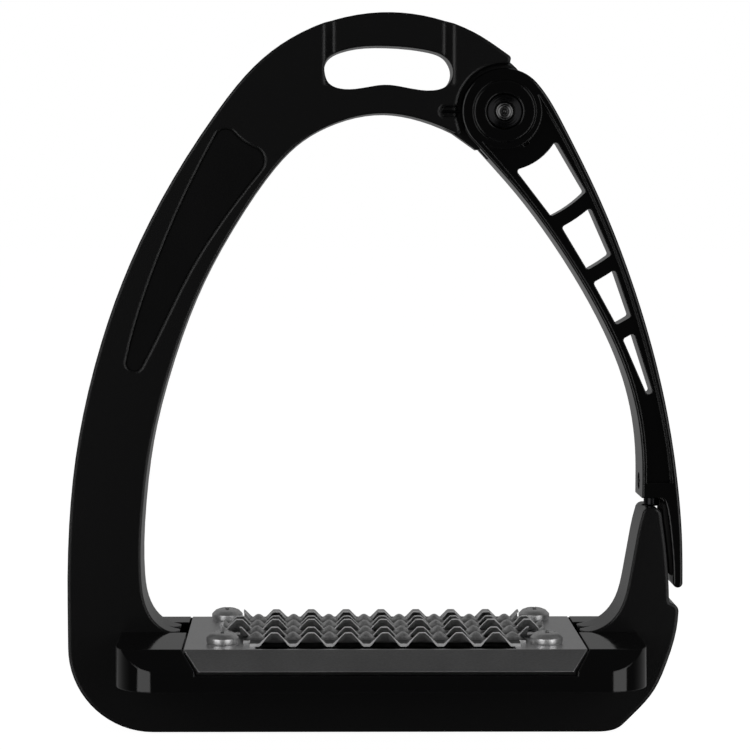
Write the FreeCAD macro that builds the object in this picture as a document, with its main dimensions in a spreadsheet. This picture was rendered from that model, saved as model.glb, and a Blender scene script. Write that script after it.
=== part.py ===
import FreeCAD, Part
import math
import os
import Sketcher
from FreeCAD import Placement, Rotation, Vector

# A safety stirrup iron: a cast ring frame whose outer branch is a separate arm. The arm hinges
# beside the leather slot and is held shut by a torsion spring and a sprung plunger, so that a
# trapped foot can push it open.
#
# Frame of the part: millimetres, +Z up, +X towards the release arm, -Y towards the toe side.
# The origin is the centre of the base bar's underside.

DIMENSIONS = [
    # ring frame
    ("frame_thick", 14.0),
    ("base_height", 15.3),
    ("base_half", 54.8),
    ("corner_radius", 21.0),
    ("corner_round", 1.0),
    ("shoulder_round", 1.9),
    ("post_round", 1.8),
    ("tip_round", 3.0),
    ("bar_recess", 2.2),
    ("bar_left", -10.3),
    ("bar_right", 17.0),
    ("lug_thick", 6.0),
    ("lug_radius", 10.0),
    ("inlay_depth", 1.3),
    ("inlay_sink", 0.5),
    ("dish_depth", 0.15),
    # hinge of the release arm
    ("hinge_x", 31.7),
    ("hinge_z", 153.2),
    ("hub_radius", 10.6),
    ("cheek_radius", 11.85),
    ("clevis_radius", 12.2),
    ("clevis_width", 6.6),
    ("pin_radius", 3.0),
    ("running_gap", 0.05),
    ("pin_length", 11.4),
    ("bush_radius", 4.35),
    ("bush_length", 2.2),
    ("washer_radius", 5.2),
    ("washer_thick", 0.24),
    ("cap_radius", 7.7),
    ("cap_hole_radius", 4.4),
    ("cap_thick", 0.9),
    ("cap_recess", 0.6),
    ("head_radius", 4.3),
    ("socket_radius", 2.7),
    ("socket_depth", 0.9),
    ("thread_radius", 1.25),
    ("thread_length", 4.0),
    # torsion spring round the hinge
    ("coil_radius", 6.3),
    ("wire_radius", 0.3),
    ("coil_rise", 1.72),
    ("coil_turns", 2.653),
    ("coil_front", -5.45),
    ("frame_leg", 8.6),
    ("arm_leg", 2.9),
    ("cavity_radius", 7.9),
    ("cavity_depth", 2.6),
    ("spring_slot_width", 2.8),
    ("spring_slot_depth", 2.6),
    # release arm
    ("web_thick", 8.4),
    ("rim_round", 0.6),
    ("window_round", 0.7),
    # plunger in the arm's lower end
    ("plunger_x", 69.1),
    ("plunger_radius", 1.95),
    ("plunger_tip", 55.35),
    ("plunger_top", 66.0),
    ("plunger_bore_top", 75.0),
    ("plunger_coil_radius", 1.45),
    ("plunger_wire_radius", 0.25),
    ("plunger_coil_turns", 8),
    ("stop_screw_z", 61.5),
    ("stop_screw_radius", 1.25),
    # tread platform
    ("platform_left", -62.6),
    ("platform_right", 64.6),
    ("platform_front", -34.5),
    ("platform_rear", 20.5),
    ("platform_low", 15.3),
    ("platform_top", 24.8),
    ("platform_corner", 10.0),
    ("platform_bevel", 4.5),
    ("platform_wall", 2.6),
    ("platform_roof", 19.4),
    ("notch_left", -46.5),
    ("notch_right", 49.0),
    ("notch_half", 7.4),
    # tread plate, grip and their screws
    ("tread_x", 1.9),
    ("tread_y", -5.2),
    ("plate_half", 48.0),
    ("plate_thick", 1.5),
    ("plate_rear", 16.0),
    ("flange_half", 44.2),
    ("opening_half", 31.0),
    ("opening_front", -29.3),
    ("opening_rear", 13.0),
    ("screw_pitch_x", 78.0),
    ("screw_pitch_y", 33.6),
    ("tread_screw_radius", 1.95),
    ("tread_head_radius", 3.9),
    ("tread_head_height", 3.05),
    ("tread_screw_low", 18.4),
    ("insert_radius", 2.8),
    ("insert_length", 3.4),
    ("grip_pitch", 8.83),
    ("grip_strip", 4.18),
    ("grip_height", 3.5),
    ("grip_crest", 0.8),
    ("grip_sheet", 0.75),
    ("grip_front", -26.6),
    ("cone_height", 2.6),
    ("cone_radius", 2.6),
    ("cone_tip", 0.5),
    # screws that hold the platform to the base bar
    ("fixing_pitch", 34.0),
    ("fixing_radius", 2.45),
    ("fixing_head_radius", 4.4),
    ("fixing_head_height", 4.0),
    ("fixing_top", 23.0),
    ("seat_depth", 5.2),
    ("nut_radius", 4.4),
    ("nut_height", 3.0),
]

doc = FreeCAD.newDocument("stirrup")
sheet = doc.addObject("Spreadsheet::Sheet", "Dims")
for row, (alias, size) in enumerate(DIMENSIONS, start=1):
    sheet.set("A%d" % row, alias)
    sheet.set("B%d" % row, str(size))
    sheet.setAlias("B%d" % row, alias)
doc.recompute()

sub_parts = []

HINGE = ("Dims.hinge_x", "0", "Dims.hinge_z")
FRONT = "Dims.frame_thick / 2"


# ---------------------------------------------------------------- helpers


def dim(expression):
    """The value in millimetres of an expression over the sheet's aliases."""
    return float(sheet.evalExpression(str(expression)))


def bind(thing, **expressions):
    """Bind properties to expressions; a double underscore stands for a dot."""
    for name, expression in expressions.items():
        thing.setExpression(name.replace("__", "."), str(expression))


def new_body(label, place=("0", "0", "0")):
    """A body for one sub-part, placed by expressions."""
    body = doc.addObject("PartDesign::Body", label)
    body.Label = label
    bind(body, Placement__Base__x=place[0], Placement__Base__y=place[1], Placement__Base__z=place[2])
    sub_parts.append(body)
    return body


def new_sketch(body, plane, offset="0"):
    """A sketch on one of the body's own origin planes, moved along the plane's normal."""
    sketch = body.newObject("Sketcher::SketchObject", body.Label + "_sketch")
    support = [item for item in body.Origin.OriginFeatures if item.Role == plane][0]
    sketch.AttachmentSupport = [(support, "")]
    sketch.MapMode = "FlatFace"
    bind(sketch, AttachmentOffset__Base__z=offset)
    return sketch


def pin_point(sketch, edge, end, x, y):
    """Hold one end or centre of an edge at expressions x and y."""
    for kind, expression in (("DistanceX", x), ("DistanceY", y)):
        held = Sketcher.Constraint(kind, -1, 1, edge, end, dim(expression))
        index = sketch.addConstraint(held)
        sketch.setExpression("Constraints[%d]" % index, str(expression))


def polygon(sketch, corners):
    """A closed polygon whose corners are pairs of expressions."""
    places = [Vector(dim(x), dim(y), 0) for x, y in corners]
    edges = []
    for start, stop in zip(places, places[1:] + places[:1]):
        edges.append(sketch.addGeometry(Part.LineSegment(start, stop), False))
    for first, second in zip(edges, edges[1:] + edges[:1]):
        sketch.addConstraint(Sketcher.Constraint("Coincident", first, 2, second, 1))
    for edge, (x, y) in zip(edges, corners):
        pin_point(sketch, edge, 1, x, y)


def rectangle(sketch, left, right, low, high):
    polygon(sketch, [(left, low), (right, low), (right, high), (left, high)])


def circle(sketch, x, y, radius):
    """A circle with a bound centre and radius."""
    centre = Vector(dim(x), dim(y), 0)
    edge = sketch.addGeometry(Part.Circle(centre, Vector(0, 0, 1), dim(radius)), False)
    pin_point(sketch, edge, 3, x, y)
    index = sketch.addConstraint(Sketcher.Constraint("Radius", edge, dim(radius)))
    sketch.setExpression("Constraints[%d]" % index, str(radius))


def outline(sketch, pieces):
    """A closed outline: 2 points make a line, 3 an arc, more a smooth curve.

    A curve may be a pair: its points, and its directions at both ends.
    """
    ends = []
    for piece in pieces:
        points, directions = piece if isinstance(piece, tuple) else (piece, None)
        places = [Vector(x, y, 0) for x, y in points]
        if len(places) == 2:
            shape = Part.LineSegment(*places)
        elif len(places) == 3:
            shape = Part.Arc(*places)
        elif directions:
            first, last = [Vector(x, y, 0) for x, y in directions]
            shape = Part.BSplineCurve()
            shape.interpolate(Points=places, InitialTangent=first, FinalTangent=last)
        else:
            shape = Part.BSplineCurve()
            shape.interpolate(places)
        edge = sketch.addGeometry(shape, False)
        forward = sketch.getPoint(edge, 1).distanceToPoint(places[0]) < 0.001
        ends.append((edge, 1, 2) if forward else (edge, 2, 1))
    for (edge, _, stop), (following, start, _) in zip(ends, ends[1:] + ends[:1]):
        sketch.addConstraint(Sketcher.Constraint("Coincident", edge, stop, following, start))


def closed_curve(sketch, points):
    """One smooth closed loop through the points."""
    shape = Part.BSplineCurve()
    shape.interpolate([Vector(x, y, 0) for x, y in points], PeriodicFlag=True)
    sketch.addGeometry(shape, False)


def pad(body, sketch, length, symmetric=False, reverse=False):
    feature = body.newObject("PartDesign::Pad", body.Label + "_pad")
    feature.Profile = sketch
    feature.SideType = "Symmetric" if symmetric else "One side"
    feature.Reversed = reverse
    bind(feature, Length=length)
    return feature


def pocket(body, sketch, depth, symmetric=False, reverse=False):
    """Cut a sketch into the body, and stop if nothing was cut."""
    doc.recompute()
    edges_before = len(body.Shape.Edges)
    feature = body.newObject("PartDesign::Pocket", body.Label + "_pocket")
    feature.Profile = sketch
    feature.SideType = "Symmetric" if symmetric else "One side"
    feature.Reversed = reverse
    bind(feature, Length=depth)
    doc.recompute()
    if len(body.Shape.Edges) == edges_before:
        raise ValueError("a pocket in %s cuts nothing" % body.Label)
    return feature


def mirror(body, feature, plane="XZ_Plane"):
    """Repeat a feature on the far side of one of the body's origin planes."""
    support = [item for item in body.Origin.OriginFeatures if item.Role == plane][0]
    copy = body.newObject("PartDesign::Mirrored", body.Label + "_mirror")
    copy.Originals = [feature]
    copy.MirrorPlane = (support, [""])
    body.Tip = copy
    doc.recompute()
    return copy


def mirror_body(body):
    """Complete a half body with its mirror image across the frame's middle plane."""
    middle = [item for item in body.Origin.OriginFeatures if item.Role == "XZ_Plane"][0]
    copy = body.newObject("PartDesign::Mirrored", body.Label + "_whole")
    copy.TransformMode = "Whole shape"
    copy.MirrorPlane = (middle, [""])
    body.Tip = copy
    doc.recompute()
    return copy


def turned(label, profile, place, plane="XY_Plane"):
    """A body of revolution: the profile's pairs are radius and distance along the axis."""
    body = new_body(label, place)
    sketch = new_sketch(body, plane)
    polygon(sketch, profile)
    spin = body.newObject("PartDesign::Revolution", label + "_turn")
    spin.Profile = sketch
    spin.ReferenceAxis = (sketch, ["V_Axis"])
    spin.Angle = 360.0
    return body


def round_edges(body, radius, wanted):
    """Fillet the edges of the body's tip that the test picks."""
    doc.recompute()
    base = body.Tip
    names = []
    for number, edge in enumerate(base.Shape.Edges, start=1):
        if wanted(edge):
            names.append("Edge%d" % number)
    fillet = body.newObject("PartDesign::Fillet", body.Label + "_fillet")
    fillet.Base = (base, names)
    bind(fillet, Radius=radius)
    doc.recompute()
    return fillet


def polar(radius, degrees, centre=(0.0, 0.0)):
    """The point at a radius and angle about a centre."""
    angle = math.radians(degrees)
    return centre[0] + radius * math.cos(angle), centre[1] + radius * math.sin(angle)


# ---------------------------------------------------------------- ring frame

# The kidney-shaped slot, clockwise from its left end, closed as one smooth loop.
LEATHER_SLOT = [
    (-12.5, 163.0), (-11.7, 166.2), (-8.1, 168.2), (2.3, 169.3), (13.0, 168.2), (17.2, 166.5),
    (19.0, 162.6), (17.5, 159.5), (13.8, 158.3), (2.3, 159.7), (-7.2, 158.6), (-11.1, 159.8),
]

# The inlay that lies in each side of the plain leg.
LEG_INLAY = [
    [(-38.9, 148.0), (-36.5, 148.9), (-34.3, 147.6)],
    [(-34.3, 147.6), (-32.0, 145.6), (-29.2, 144.2)],
    [(-29.2, 144.2), (-27.3, 141.8), (-27.9, 139.1)],
    [(-27.9, 139.1), (-36.5, 128.0), (-45.4, 114.3), (-51.3, 102.6), (-57.2, 90.9)],
    [(-57.2, 90.9), (-59.9, 89.4), (-61.3, 92.1)],
    [(-61.3, 92.1), (-59.5, 99.4), (-54.8, 113.6), (-47.7, 130.7), (-38.9, 148.0)],
]


def frame_outline():
    """The ring: plain leg, crown, base bar and the short post under the arm."""
    hinge = (dim("Dims.hinge_x"), dim("Dims.hinge_z"))
    cheek = dim("Dims.cheek_radius")
    half = dim("Dims.base_half")
    corner = dim("Dims.corner_radius")
    bar = dim("Dims.base_height")
    cheek_top = polar(cheek, 84.0, hinge)
    cheek_mid = polar(cheek, 144.0, hinge)
    cheek_low = polar(cheek, 203.0, hinge)
    crown_corner = (33.3, 166.5)
    fork_corner = (19.8, 147.8)
    round_in = corner * (1 - math.sqrt(0.5))
    return [
        [(half, 0.0), (-half, 0.0)],
        [(-half, 0.0), (-half - corner + round_in, round_in), (-half - corner, corner)],
        ([(-half - corner, corner), (-75.9, 36.0), (-75.35, 52.7), (-73.7, 68.6),
          (-69.7, 88.1), (-61.6, 112.7), (-51.4, 133.6), (-38.8, 153.2), (-27.9, 165.9),
          (-14.6, 174.1), (2.5, 177.6), (17.5, 175.3), (25.3, 171.9), crown_corner],
         [(0.0, 1.0), (1.0, -0.7)]),
        [crown_corner, cheek_top],
        [cheek_top, cheek_mid, cheek_low],
        [cheek_low, fork_corner],
        [fork_corner, (9.9, 151.6), (2.3, 152.7), (-10.0, 150.3), (-19.0, 145.2), (-26.4, 137.3),
         (-33.8, 126.5), (-42.6, 110.6), (-51.1, 87.8), (-55.1, 71.9), (-57.2, 56.0),
         (-57.7, 37.9), (-56.7, 31.6), (-54.3, 27.3), (-51.8, 25.4), (-48.4, 24.8)],
        [(-48.4, 24.8), (-48.4, bar)],
        [(-48.4, bar), (51.0, bar)],
        [(51.0, bar), (51.0, 24.8)],
        [(51.0, 24.8), (54.7, 25.3), (58.2, 27.4), (61.0, 31.4), (62.6, 37.0), (64.0, 44.9),
         (66.4, 55.5)],
        [(66.4, 55.5), (70.4, 55.5)],
        [(70.4, 55.5), (71.8, 45.0), (72.4, 38.0), (72.6, 32.0)],
        [(72.6, 32.0), (75.0, 31.4)],
        ([(75.0, 31.4), (74.3, 24.5), (71.9, 16.6), (68.4, 9.4), (62.4, 2.9), (half, 0.0)],
         [(0.0, -1.0), (-1.0, 0.0)]),
    ]


def make_frame():
    """The casting: ring, leather slot, hinge lug, spring slot, inlay pockets and screw holes."""
    body = new_body("frame")
    ring = new_sketch(body, "XZ_Plane")
    outline(ring, frame_outline())
    pad(body, ring, FRONT)

    slot = new_sketch(body, "XZ_Plane")
    closed_curve(slot, LEATHER_SLOT)
    pocket(body, slot, "Dims.frame_thick * 2", symmetric=True)

    tips = (-48.4, 51.0)

    def is_tip(edge):
        box = edge.BoundBox
        upright = box.XLength < 0.01 and box.YLength < 0.01 and box.ZLength > 5
        return upright and any(abs(box.XMin - tip) < 0.01 for tip in tips)

    round_edges(body, "Dims.tip_round", is_tip)

    def is_corner(places):
        def test(edge):
            middle = edge.CenterOfMass
            deep = edge.BoundBox.YLength > 6
            gaps = [math.hypot(middle.x - x, middle.z - z) for x, z in places]
            return deep and min(gaps) < 0.2
        return test

    small_corners = [(33.3, 166.5), (72.6, 32.0), (19.8, 147.8)]
    round_edges(body, "Dims.corner_round", is_corner(small_corners))
    round_edges(body, "Dims.shoulder_round", is_corner([(75.0, 31.4)]))
    round_edges(body, "Dims.post_round", is_corner([(66.4, 55.5), (70.4, 55.5)]))

    # The bar that the leather bears on is thinner than the rest, with sloping shoulders.
    recess = new_sketch(body, "XY_Plane", "160")
    polygon(recess, [
        ("Dims.bar_left", "-Dims.frame_thick / 2 + Dims.bar_recess"),
        ("Dims.bar_left - 2 * Dims.bar_recess", "-Dims.frame_thick / 2 - Dims.bar_recess"),
        ("Dims.bar_right + 2 * Dims.bar_recess", "-Dims.frame_thick / 2 - Dims.bar_recess"),
        ("Dims.bar_right", "-Dims.frame_thick / 2 + Dims.bar_recess"),
    ])
    pocket(body, recess, "30", reverse=True)

    inlay = new_sketch(body, "XZ_Plane", FRONT)
    outline(inlay, LEG_INLAY)
    pocket(body, inlay, "Dims.inlay_depth")
    mirror_body(body)

    # The lug is the tongue of the hinge, one third of the thickness.
    lug = new_sketch(body, "XZ_Plane")
    hinge = (dim("Dims.hinge_x"), dim("Dims.hinge_z"))
    reach = dim("Dims.lug_radius")
    outline(lug, [
        [(8.0, 154.0), (19.3, 147.8)],
        [(19.3, 147.8), (24.9, 143.8)],
        [(24.9, 143.8), polar(reach, 245.0, hinge)],
        [polar(reach, 245.0, hinge), polar(reach, -20.0, hinge), polar(reach, 62.0, hinge)],
        [polar(reach, 62.0, hinge), (34.8, 164.0)],
        [(34.8, 164.0), (32.0, 166.6)],
        [(32.0, 166.6), (20.9, 168.0)],
        [(20.9, 168.0), (19.8, 156.0)],
        [(19.8, 156.0), (8.0, 154.0)],
    ])
    pad(body, lug, "Dims.lug_thick", symmetric=True)
    bore = new_sketch(body, "XZ_Plane")
    circle(bore, "Dims.hinge_x", "Dims.hinge_z", "Dims.pin_radius")
    pocket(body, bore, "Dims.frame_thick", symmetric=True)

    spring_slot = new_sketch(body, "XZ_Plane", FRONT)
    outline(spring_slot, [
        [(21.5, 151.8), (17.2, 151.8)],
        [(17.2, 151.8), (15.8, 153.2), (17.2, 154.6)],
        [(17.2, 154.6), (21.5, 154.6)],
        [(21.5, 154.6), (21.5, 151.8)],
    ])
    pocket(body, spring_slot, "Dims.spring_slot_depth")

    # Counterbored holes for the screws that hold the platform.
    shanks = new_sketch(body, "XY_Plane")
    heads = new_sketch(body, "XY_Plane")
    for side in (-1, 0, 1):
        place = "Dims.tread_x + %d * Dims.fixing_pitch" % side
        circle(shanks, place, "0", "Dims.fixing_radius + 0.15")
        circle(heads, place, "0", "Dims.fixing_head_radius + 0.2")
    pocket(body, shanks, "Dims.base_height + 1", reverse=True)
    pocket(body, heads, "Dims.seat_depth", reverse=True)

    # A shallow dish in the post's top takes the plunger's tip.
    seat = new_sketch(body, "XY_Plane", "Dims.plunger_tip - Dims.dish_depth")
    circle(seat, "Dims.plunger_x", "0", "Dims.plunger_radius + 0.7")
    pocket(body, seat, "5", reverse=True)
    return body


def make_inlays():
    """The dark inlays, a little below the front and rear of the plain leg."""
    face = "(%s - Dims.inlay_sink)" % FRONT
    for label, offset in (("leg_inlay_front", face), ("leg_inlay_rear", "-" + face)):
        body = new_body(label)
        sketch = new_sketch(body, "XZ_Plane", offset)
        outline(sketch, LEG_INLAY)
        thick = "Dims.inlay_depth - Dims.inlay_sink"
        pad(body, sketch, thick, reverse=label.endswith("front"))


# ---------------------------------------------------------------- release arm


def arm_outline(hinge):
    """The arm's edge: hub, outer side, tail, lower end and inner side."""
    hub = dim("Dims.hub_radius")
    outer = polar(hub, 42.0, hinge)
    inner = polar(hub, 228.0, hinge)
    return [
        [inner, polar(hub, 135.0, hinge), outer],
        ([outer, (46.4, 149.5), (55.9, 130.1), (61.6, 115.9), (70.0, 88.3), (73.8, 68.6),
          (75.55, 52.7), (76.0, 36.9)], [(0.669, -0.743), (0.0, -1.0)]),
        [(76.0, 36.9), (74.8, 35.7), (73.6, 36.9)],
        ([(73.6, 36.9), (73.4, 43.0), (72.8, 49.5), (72.2, 54.0), (70.9, 57.9)],
         [(0.0, 1.0), (-0.8, 1.0)]),
        [(70.9, 57.9), (65.9, 57.9)],
        ([(65.9, 57.9), (65.9, 66.0), (65.4, 73.2), (62.4, 87.0), (55.9, 102.1), (48.9, 114.3),
          (36.6, 131.7), inner], [(0.0, 1.0), (-0.669, 0.743)]),
    ]


def web_outline(hinge):
    """The sunk panel inside the rims, from the hub down to the solid lower end."""
    disc = 9.2
    low = polar(disc, 234.0, hinge)
    high = polar(disc, 28.0, hinge)
    return [
        [low, polar(disc, 311.0, hinge), high],
        [high, (45.6, 147.8), (54.6, 129.6), (60.4, 115.4), (68.7, 87.9), (72.6, 68.4), (73.3, 61.7)],
        [(73.3, 61.7), (67.0, 61.7)],
        [(67.0, 61.7), (67.0, 66.5), (66.5, 73.5), (63.5, 87.4), (57.0, 102.6), (49.8, 114.9),
         (37.4, 132.6), low],
    ]


# Windows of the arm: distances from the hinge of the near and far side, then the four corners'
# directions from the hinge, near outer, near inner, far outer and far inner.
ARM_WINDOWS = [
    (14.6, 28.3, -28.5, -78.3, -44.1, -65.5),
    (31.8, 44.2, -47.7, -63.2, -53.0, -62.0),
    (47.6, 59.6, -54.7, -62.2, -58.0, -62.0),
    (63.4, 78.6, -59.4, -62.2, -61.9, -63.0),
]


def arm_window(hinge, near, far, near_outer, near_inner, far_outer, far_inner):
    """A window between two arcs about the hinge."""
    corners = {
        "a": polar(near, near_outer, hinge),
        "b": polar(near, near_inner, hinge),
        "c": polar(far, far_inner, hinge),
        "d": polar(far, far_outer, hinge),
    }
    return [
        [corners["a"], polar(near, (near_outer + near_inner) / 2, hinge), corners["b"]],
        [corners["b"], corners["c"]],
        [corners["c"], polar(far, (far_outer + far_inner) / 2, hinge), corners["d"]],
        [corners["d"], corners["a"]],
    ]


def make_arm():
    """The release arm: clevis hub, sunk web with windows, plunger bore and tail."""
    body = new_body("release_arm")
    hinge = (dim("Dims.hinge_x"), dim("Dims.hinge_z"))
    sketch = new_sketch(body, "XZ_Plane")
    outline(sketch, arm_outline(hinge))
    pad(body, sketch, "Dims.frame_thick", symmetric=True)

    half_thick = dim(FRONT)

    def is_rim(edge):
        box = edge.BoundBox
        return box.YLength < 0.01 and abs(abs(box.YMin) - half_thick) < 0.01

    round_edges(body, "Dims.rim_round", is_rim)

    panel = new_sketch(body, "XZ_Plane", FRONT)
    outline(panel, web_outline(hinge))
    mirror(body, pocket(body, panel, "(Dims.frame_thick - Dims.web_thick) / 2"))

    windows = new_sketch(body, "XZ_Plane")
    for window in ARM_WINDOWS:
        outline(windows, arm_window(hinge, *window))
    pocket(body, windows, "Dims.frame_thick * 2", symmetric=True)
    corners = []
    for near, far, near_outer, near_inner, far_outer, far_inner in ARM_WINDOWS:
        corners += [polar(near, near_outer, hinge), polar(near, near_inner, hinge)]
        corners += [polar(far, far_outer, hinge), polar(far, far_inner, hinge)]

    def is_window_corner(edge):
        middle = edge.CenterOfMass
        return min(math.hypot(middle.x - x, middle.z - z) for x, z in corners) < 0.1

    round_edges(body, "Dims.window_round", is_window_corner)

    clevis = new_sketch(body, "XZ_Plane")
    circle(clevis, "Dims.hinge_x", "Dims.hinge_z", "Dims.clevis_radius")
    pocket(body, clevis, "Dims.clevis_width", symmetric=True)

    bore = new_sketch(body, "XZ_Plane")
    circle(bore, "Dims.hinge_x", "Dims.hinge_z", "Dims.bush_radius")
    pocket(body, bore, "Dims.frame_thick * 2", symmetric=True)

    seat = new_sketch(body, "XZ_Plane", FRONT)
    circle(seat, "Dims.hinge_x", "Dims.hinge_z", "Dims.cap_radius")
    mirror(body, pocket(body, seat, "Dims.cap_recess"))

    # The front cheek is hollow for the spring, with a window for the leg that goes to the frame.
    cavity = new_sketch(body, "XZ_Plane", "Dims.clevis_width / 2")
    circle(cavity, "Dims.hinge_x", "Dims.hinge_z", "Dims.cavity_radius")
    circle(cavity, "Dims.hinge_x", "Dims.hinge_z", "Dims.bush_radius + 0.9")
    pocket(body, cavity, "Dims.cavity_depth", reverse=True)
    reach = dim("Dims.cavity_radius") - 0.4
    past = dim("Dims.hub_radius") + 1.0
    gate = new_sketch(body, "XZ_Plane", "Dims.clevis_width / 2")
    outline(gate, [
        [polar(past, 86.0, hinge), polar(past, 139.0, hinge), polar(past, 192.0, hinge)],
        [polar(past, 192.0, hinge), polar(reach, 192.0, hinge)],
        [polar(reach, 192.0, hinge), polar(reach, 139.0, hinge), polar(reach, 86.0, hinge)],
        [polar(reach, 86.0, hinge), polar(past, 86.0, hinge)],
    ])
    pocket(body, gate, "Dims.cavity_depth", reverse=True)
    # A notch in the cavity's wall holds the spring's other leg.
    notch = new_sketch(body, "XZ_Plane", "Dims.clevis_width / 2")
    outline(notch, [
        [polar(7.0, 299.0, hinge), polar(7.0, 311.0, hinge)],
        [polar(7.0, 311.0, hinge), polar(10.0, 309.0, hinge)],
        [polar(10.0, 309.0, hinge), polar(10.0, 301.0, hinge)],
        [polar(10.0, 301.0, hinge), polar(7.0, 299.0, hinge)],
    ])
    pocket(body, notch, "1.2", reverse=True)

    plunger = new_sketch(body, "XY_Plane", "57")
    circle(plunger, "Dims.plunger_x", "0", "Dims.plunger_radius + Dims.running_gap")
    pocket(body, plunger, "Dims.plunger_bore_top - 57", reverse=True)
    stop = new_sketch(body, "YZ_Plane", "64")
    circle(stop, "0", "Dims.stop_screw_z", "Dims.stop_screw_radius")
    pocket(body, stop, "Dims.plunger_x - 64", reverse=True)
    stop_head = new_sketch(body, "YZ_Plane", "64")
    circle(stop_head, "0", "Dims.stop_screw_z", "Dims.stop_screw_radius + 0.9")
    pocket(body, stop_head, "2.55", reverse=True)

    # A seat in the tail's inner side holds the rubber stop.
    pad_seat = new_sketch(body, "YZ_Plane", "71")
    rectangle(pad_seat, "-5.7", "5.7", "38.5", "56.6")
    pocket(body, pad_seat, "3.2", reverse=True)
    return body


def make_hinge():
    """Pin, bushes, washers, screws and caps on the hinge axis."""
    gap = "Dims.running_gap"
    cheek = "Dims.clevis_width / 2"
    pin_end = "Dims.pin_length / 2"
    turned("hinge_pin", [
        ("Dims.thread_radius + 0.01", "-" + pin_end),
        ("Dims.pin_radius", "-" + pin_end),
        ("Dims.pin_radius", pin_end),
        ("Dims.thread_radius + 0.01", pin_end),
    ], HINGE)
    for side, sign in (("front", "-"), ("rear", "")):
        def at(distance, sign=sign):
            return "%s(%s)" % (sign, distance)

        turned("hinge_bush_" + side, [
            ("Dims.pin_radius + " + gap, at(cheek)),
            ("Dims.bush_radius", at(cheek)),
            ("Dims.bush_radius", at(cheek + " + Dims.bush_length")),
            ("Dims.pin_radius + " + gap, at(cheek + " + Dims.bush_length")),
        ], HINGE)
        inside = "Dims.lug_thick / 2 + 0.03"
        turned("thrust_washer_" + side, [
            ("Dims.pin_radius + " + gap, at(inside)),
            ("Dims.washer_radius", at(inside)),
            ("Dims.washer_radius", at(inside + " + Dims.washer_thick")),
            ("Dims.pin_radius + " + gap, at(inside + " + Dims.washer_thick")),
        ], HINGE)
        floor = "Dims.frame_thick / 2 - Dims.cap_recess"
        face = floor + " + Dims.cap_thick"
        turned("hub_cap_" + side, [
            ("Dims.cap_hole_radius", at(floor)),
            ("Dims.cap_radius", at(floor)),
            ("Dims.cap_radius", at(face + " - 0.35")),
            ("Dims.cap_radius - 0.35", at(face)),
            ("Dims.cap_hole_radius + 0.25", at(face)),
            ("Dims.cap_hole_radius", at(face + " - 0.25")),
        ], HINGE)
        top = "Dims.frame_thick / 2 + 0.1"
        turned("hinge_screw_" + side, [
            ("0", at(pin_end + " - Dims.thread_length")),
            ("Dims.thread_radius", at(pin_end + " - Dims.thread_length")),
            ("Dims.thread_radius", at(pin_end)),
            ("Dims.head_radius", at(pin_end)),
            ("Dims.head_radius", at(top + " - 0.25")),
            ("Dims.head_radius - 0.25", at(top)),
            ("Dims.socket_radius", at(top)),
            ("Dims.socket_radius - 0.7", at(top + " - Dims.socket_depth")),
            ("1.1", at(top + " - Dims.socket_depth")),
            ("0", at(top + " - Dims.socket_depth - 0.3")),
        ], HINGE)


def coil(radius, wire, rise, turns):
    """A round wire wound about the Z axis, starting at +X."""
    helix = Part.makeHelix(rise / turns, rise, radius)
    ring = Part.Circle(Vector(radius, 0, 0), Vector(0, 1, 0), wire)
    return Part.Wire(helix).makePipeShell([Part.Wire([ring.toShape()])], True, True)


def add_shape(label, shape, place):
    """A sub-part whose shape is set directly."""
    feature = doc.addObject("Part::Feature", label)
    feature.Label = label
    feature.Shape = shape
    feature.Placement = place
    sub_parts.append(feature)


def make_spring():
    """Torsion spring: the coil, a leg in the frame's slot and a leg in the arm's notch."""
    radius = dim("Dims.coil_radius")
    wire = dim("Dims.wire_radius")
    rise = dim("Dims.coil_rise")
    turns = dim("Dims.coil_turns")
    frame_leg = Part.makeCylinder(wire, dim("Dims.frame_leg"), Vector(radius, 0, 0), Vector(1, 0, 0))
    end_x, end_y = polar(radius, 360.0 * turns)
    outward = Vector(end_x, end_y, 0)
    arm_leg = Part.makeCylinder(wire, dim("Dims.arm_leg"), Vector(end_x, end_y, rise), outward)
    shape = coil(radius, wire, rise, turns).fuse([frame_leg, arm_leg])
    # The coil's axis lies along +Y and its first leg points at the frame's slot.
    lay_down = Rotation(Vector(-1, 0, 0), Vector(0, 0, 1), Vector(0, 1, 0), "XYZ")
    hinge = Vector(dim("Dims.hinge_x"), dim("Dims.coil_front"), dim("Dims.hinge_z"))
    add_shape("torsion_spring", shape, Placement(hinge, lay_down))


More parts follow.
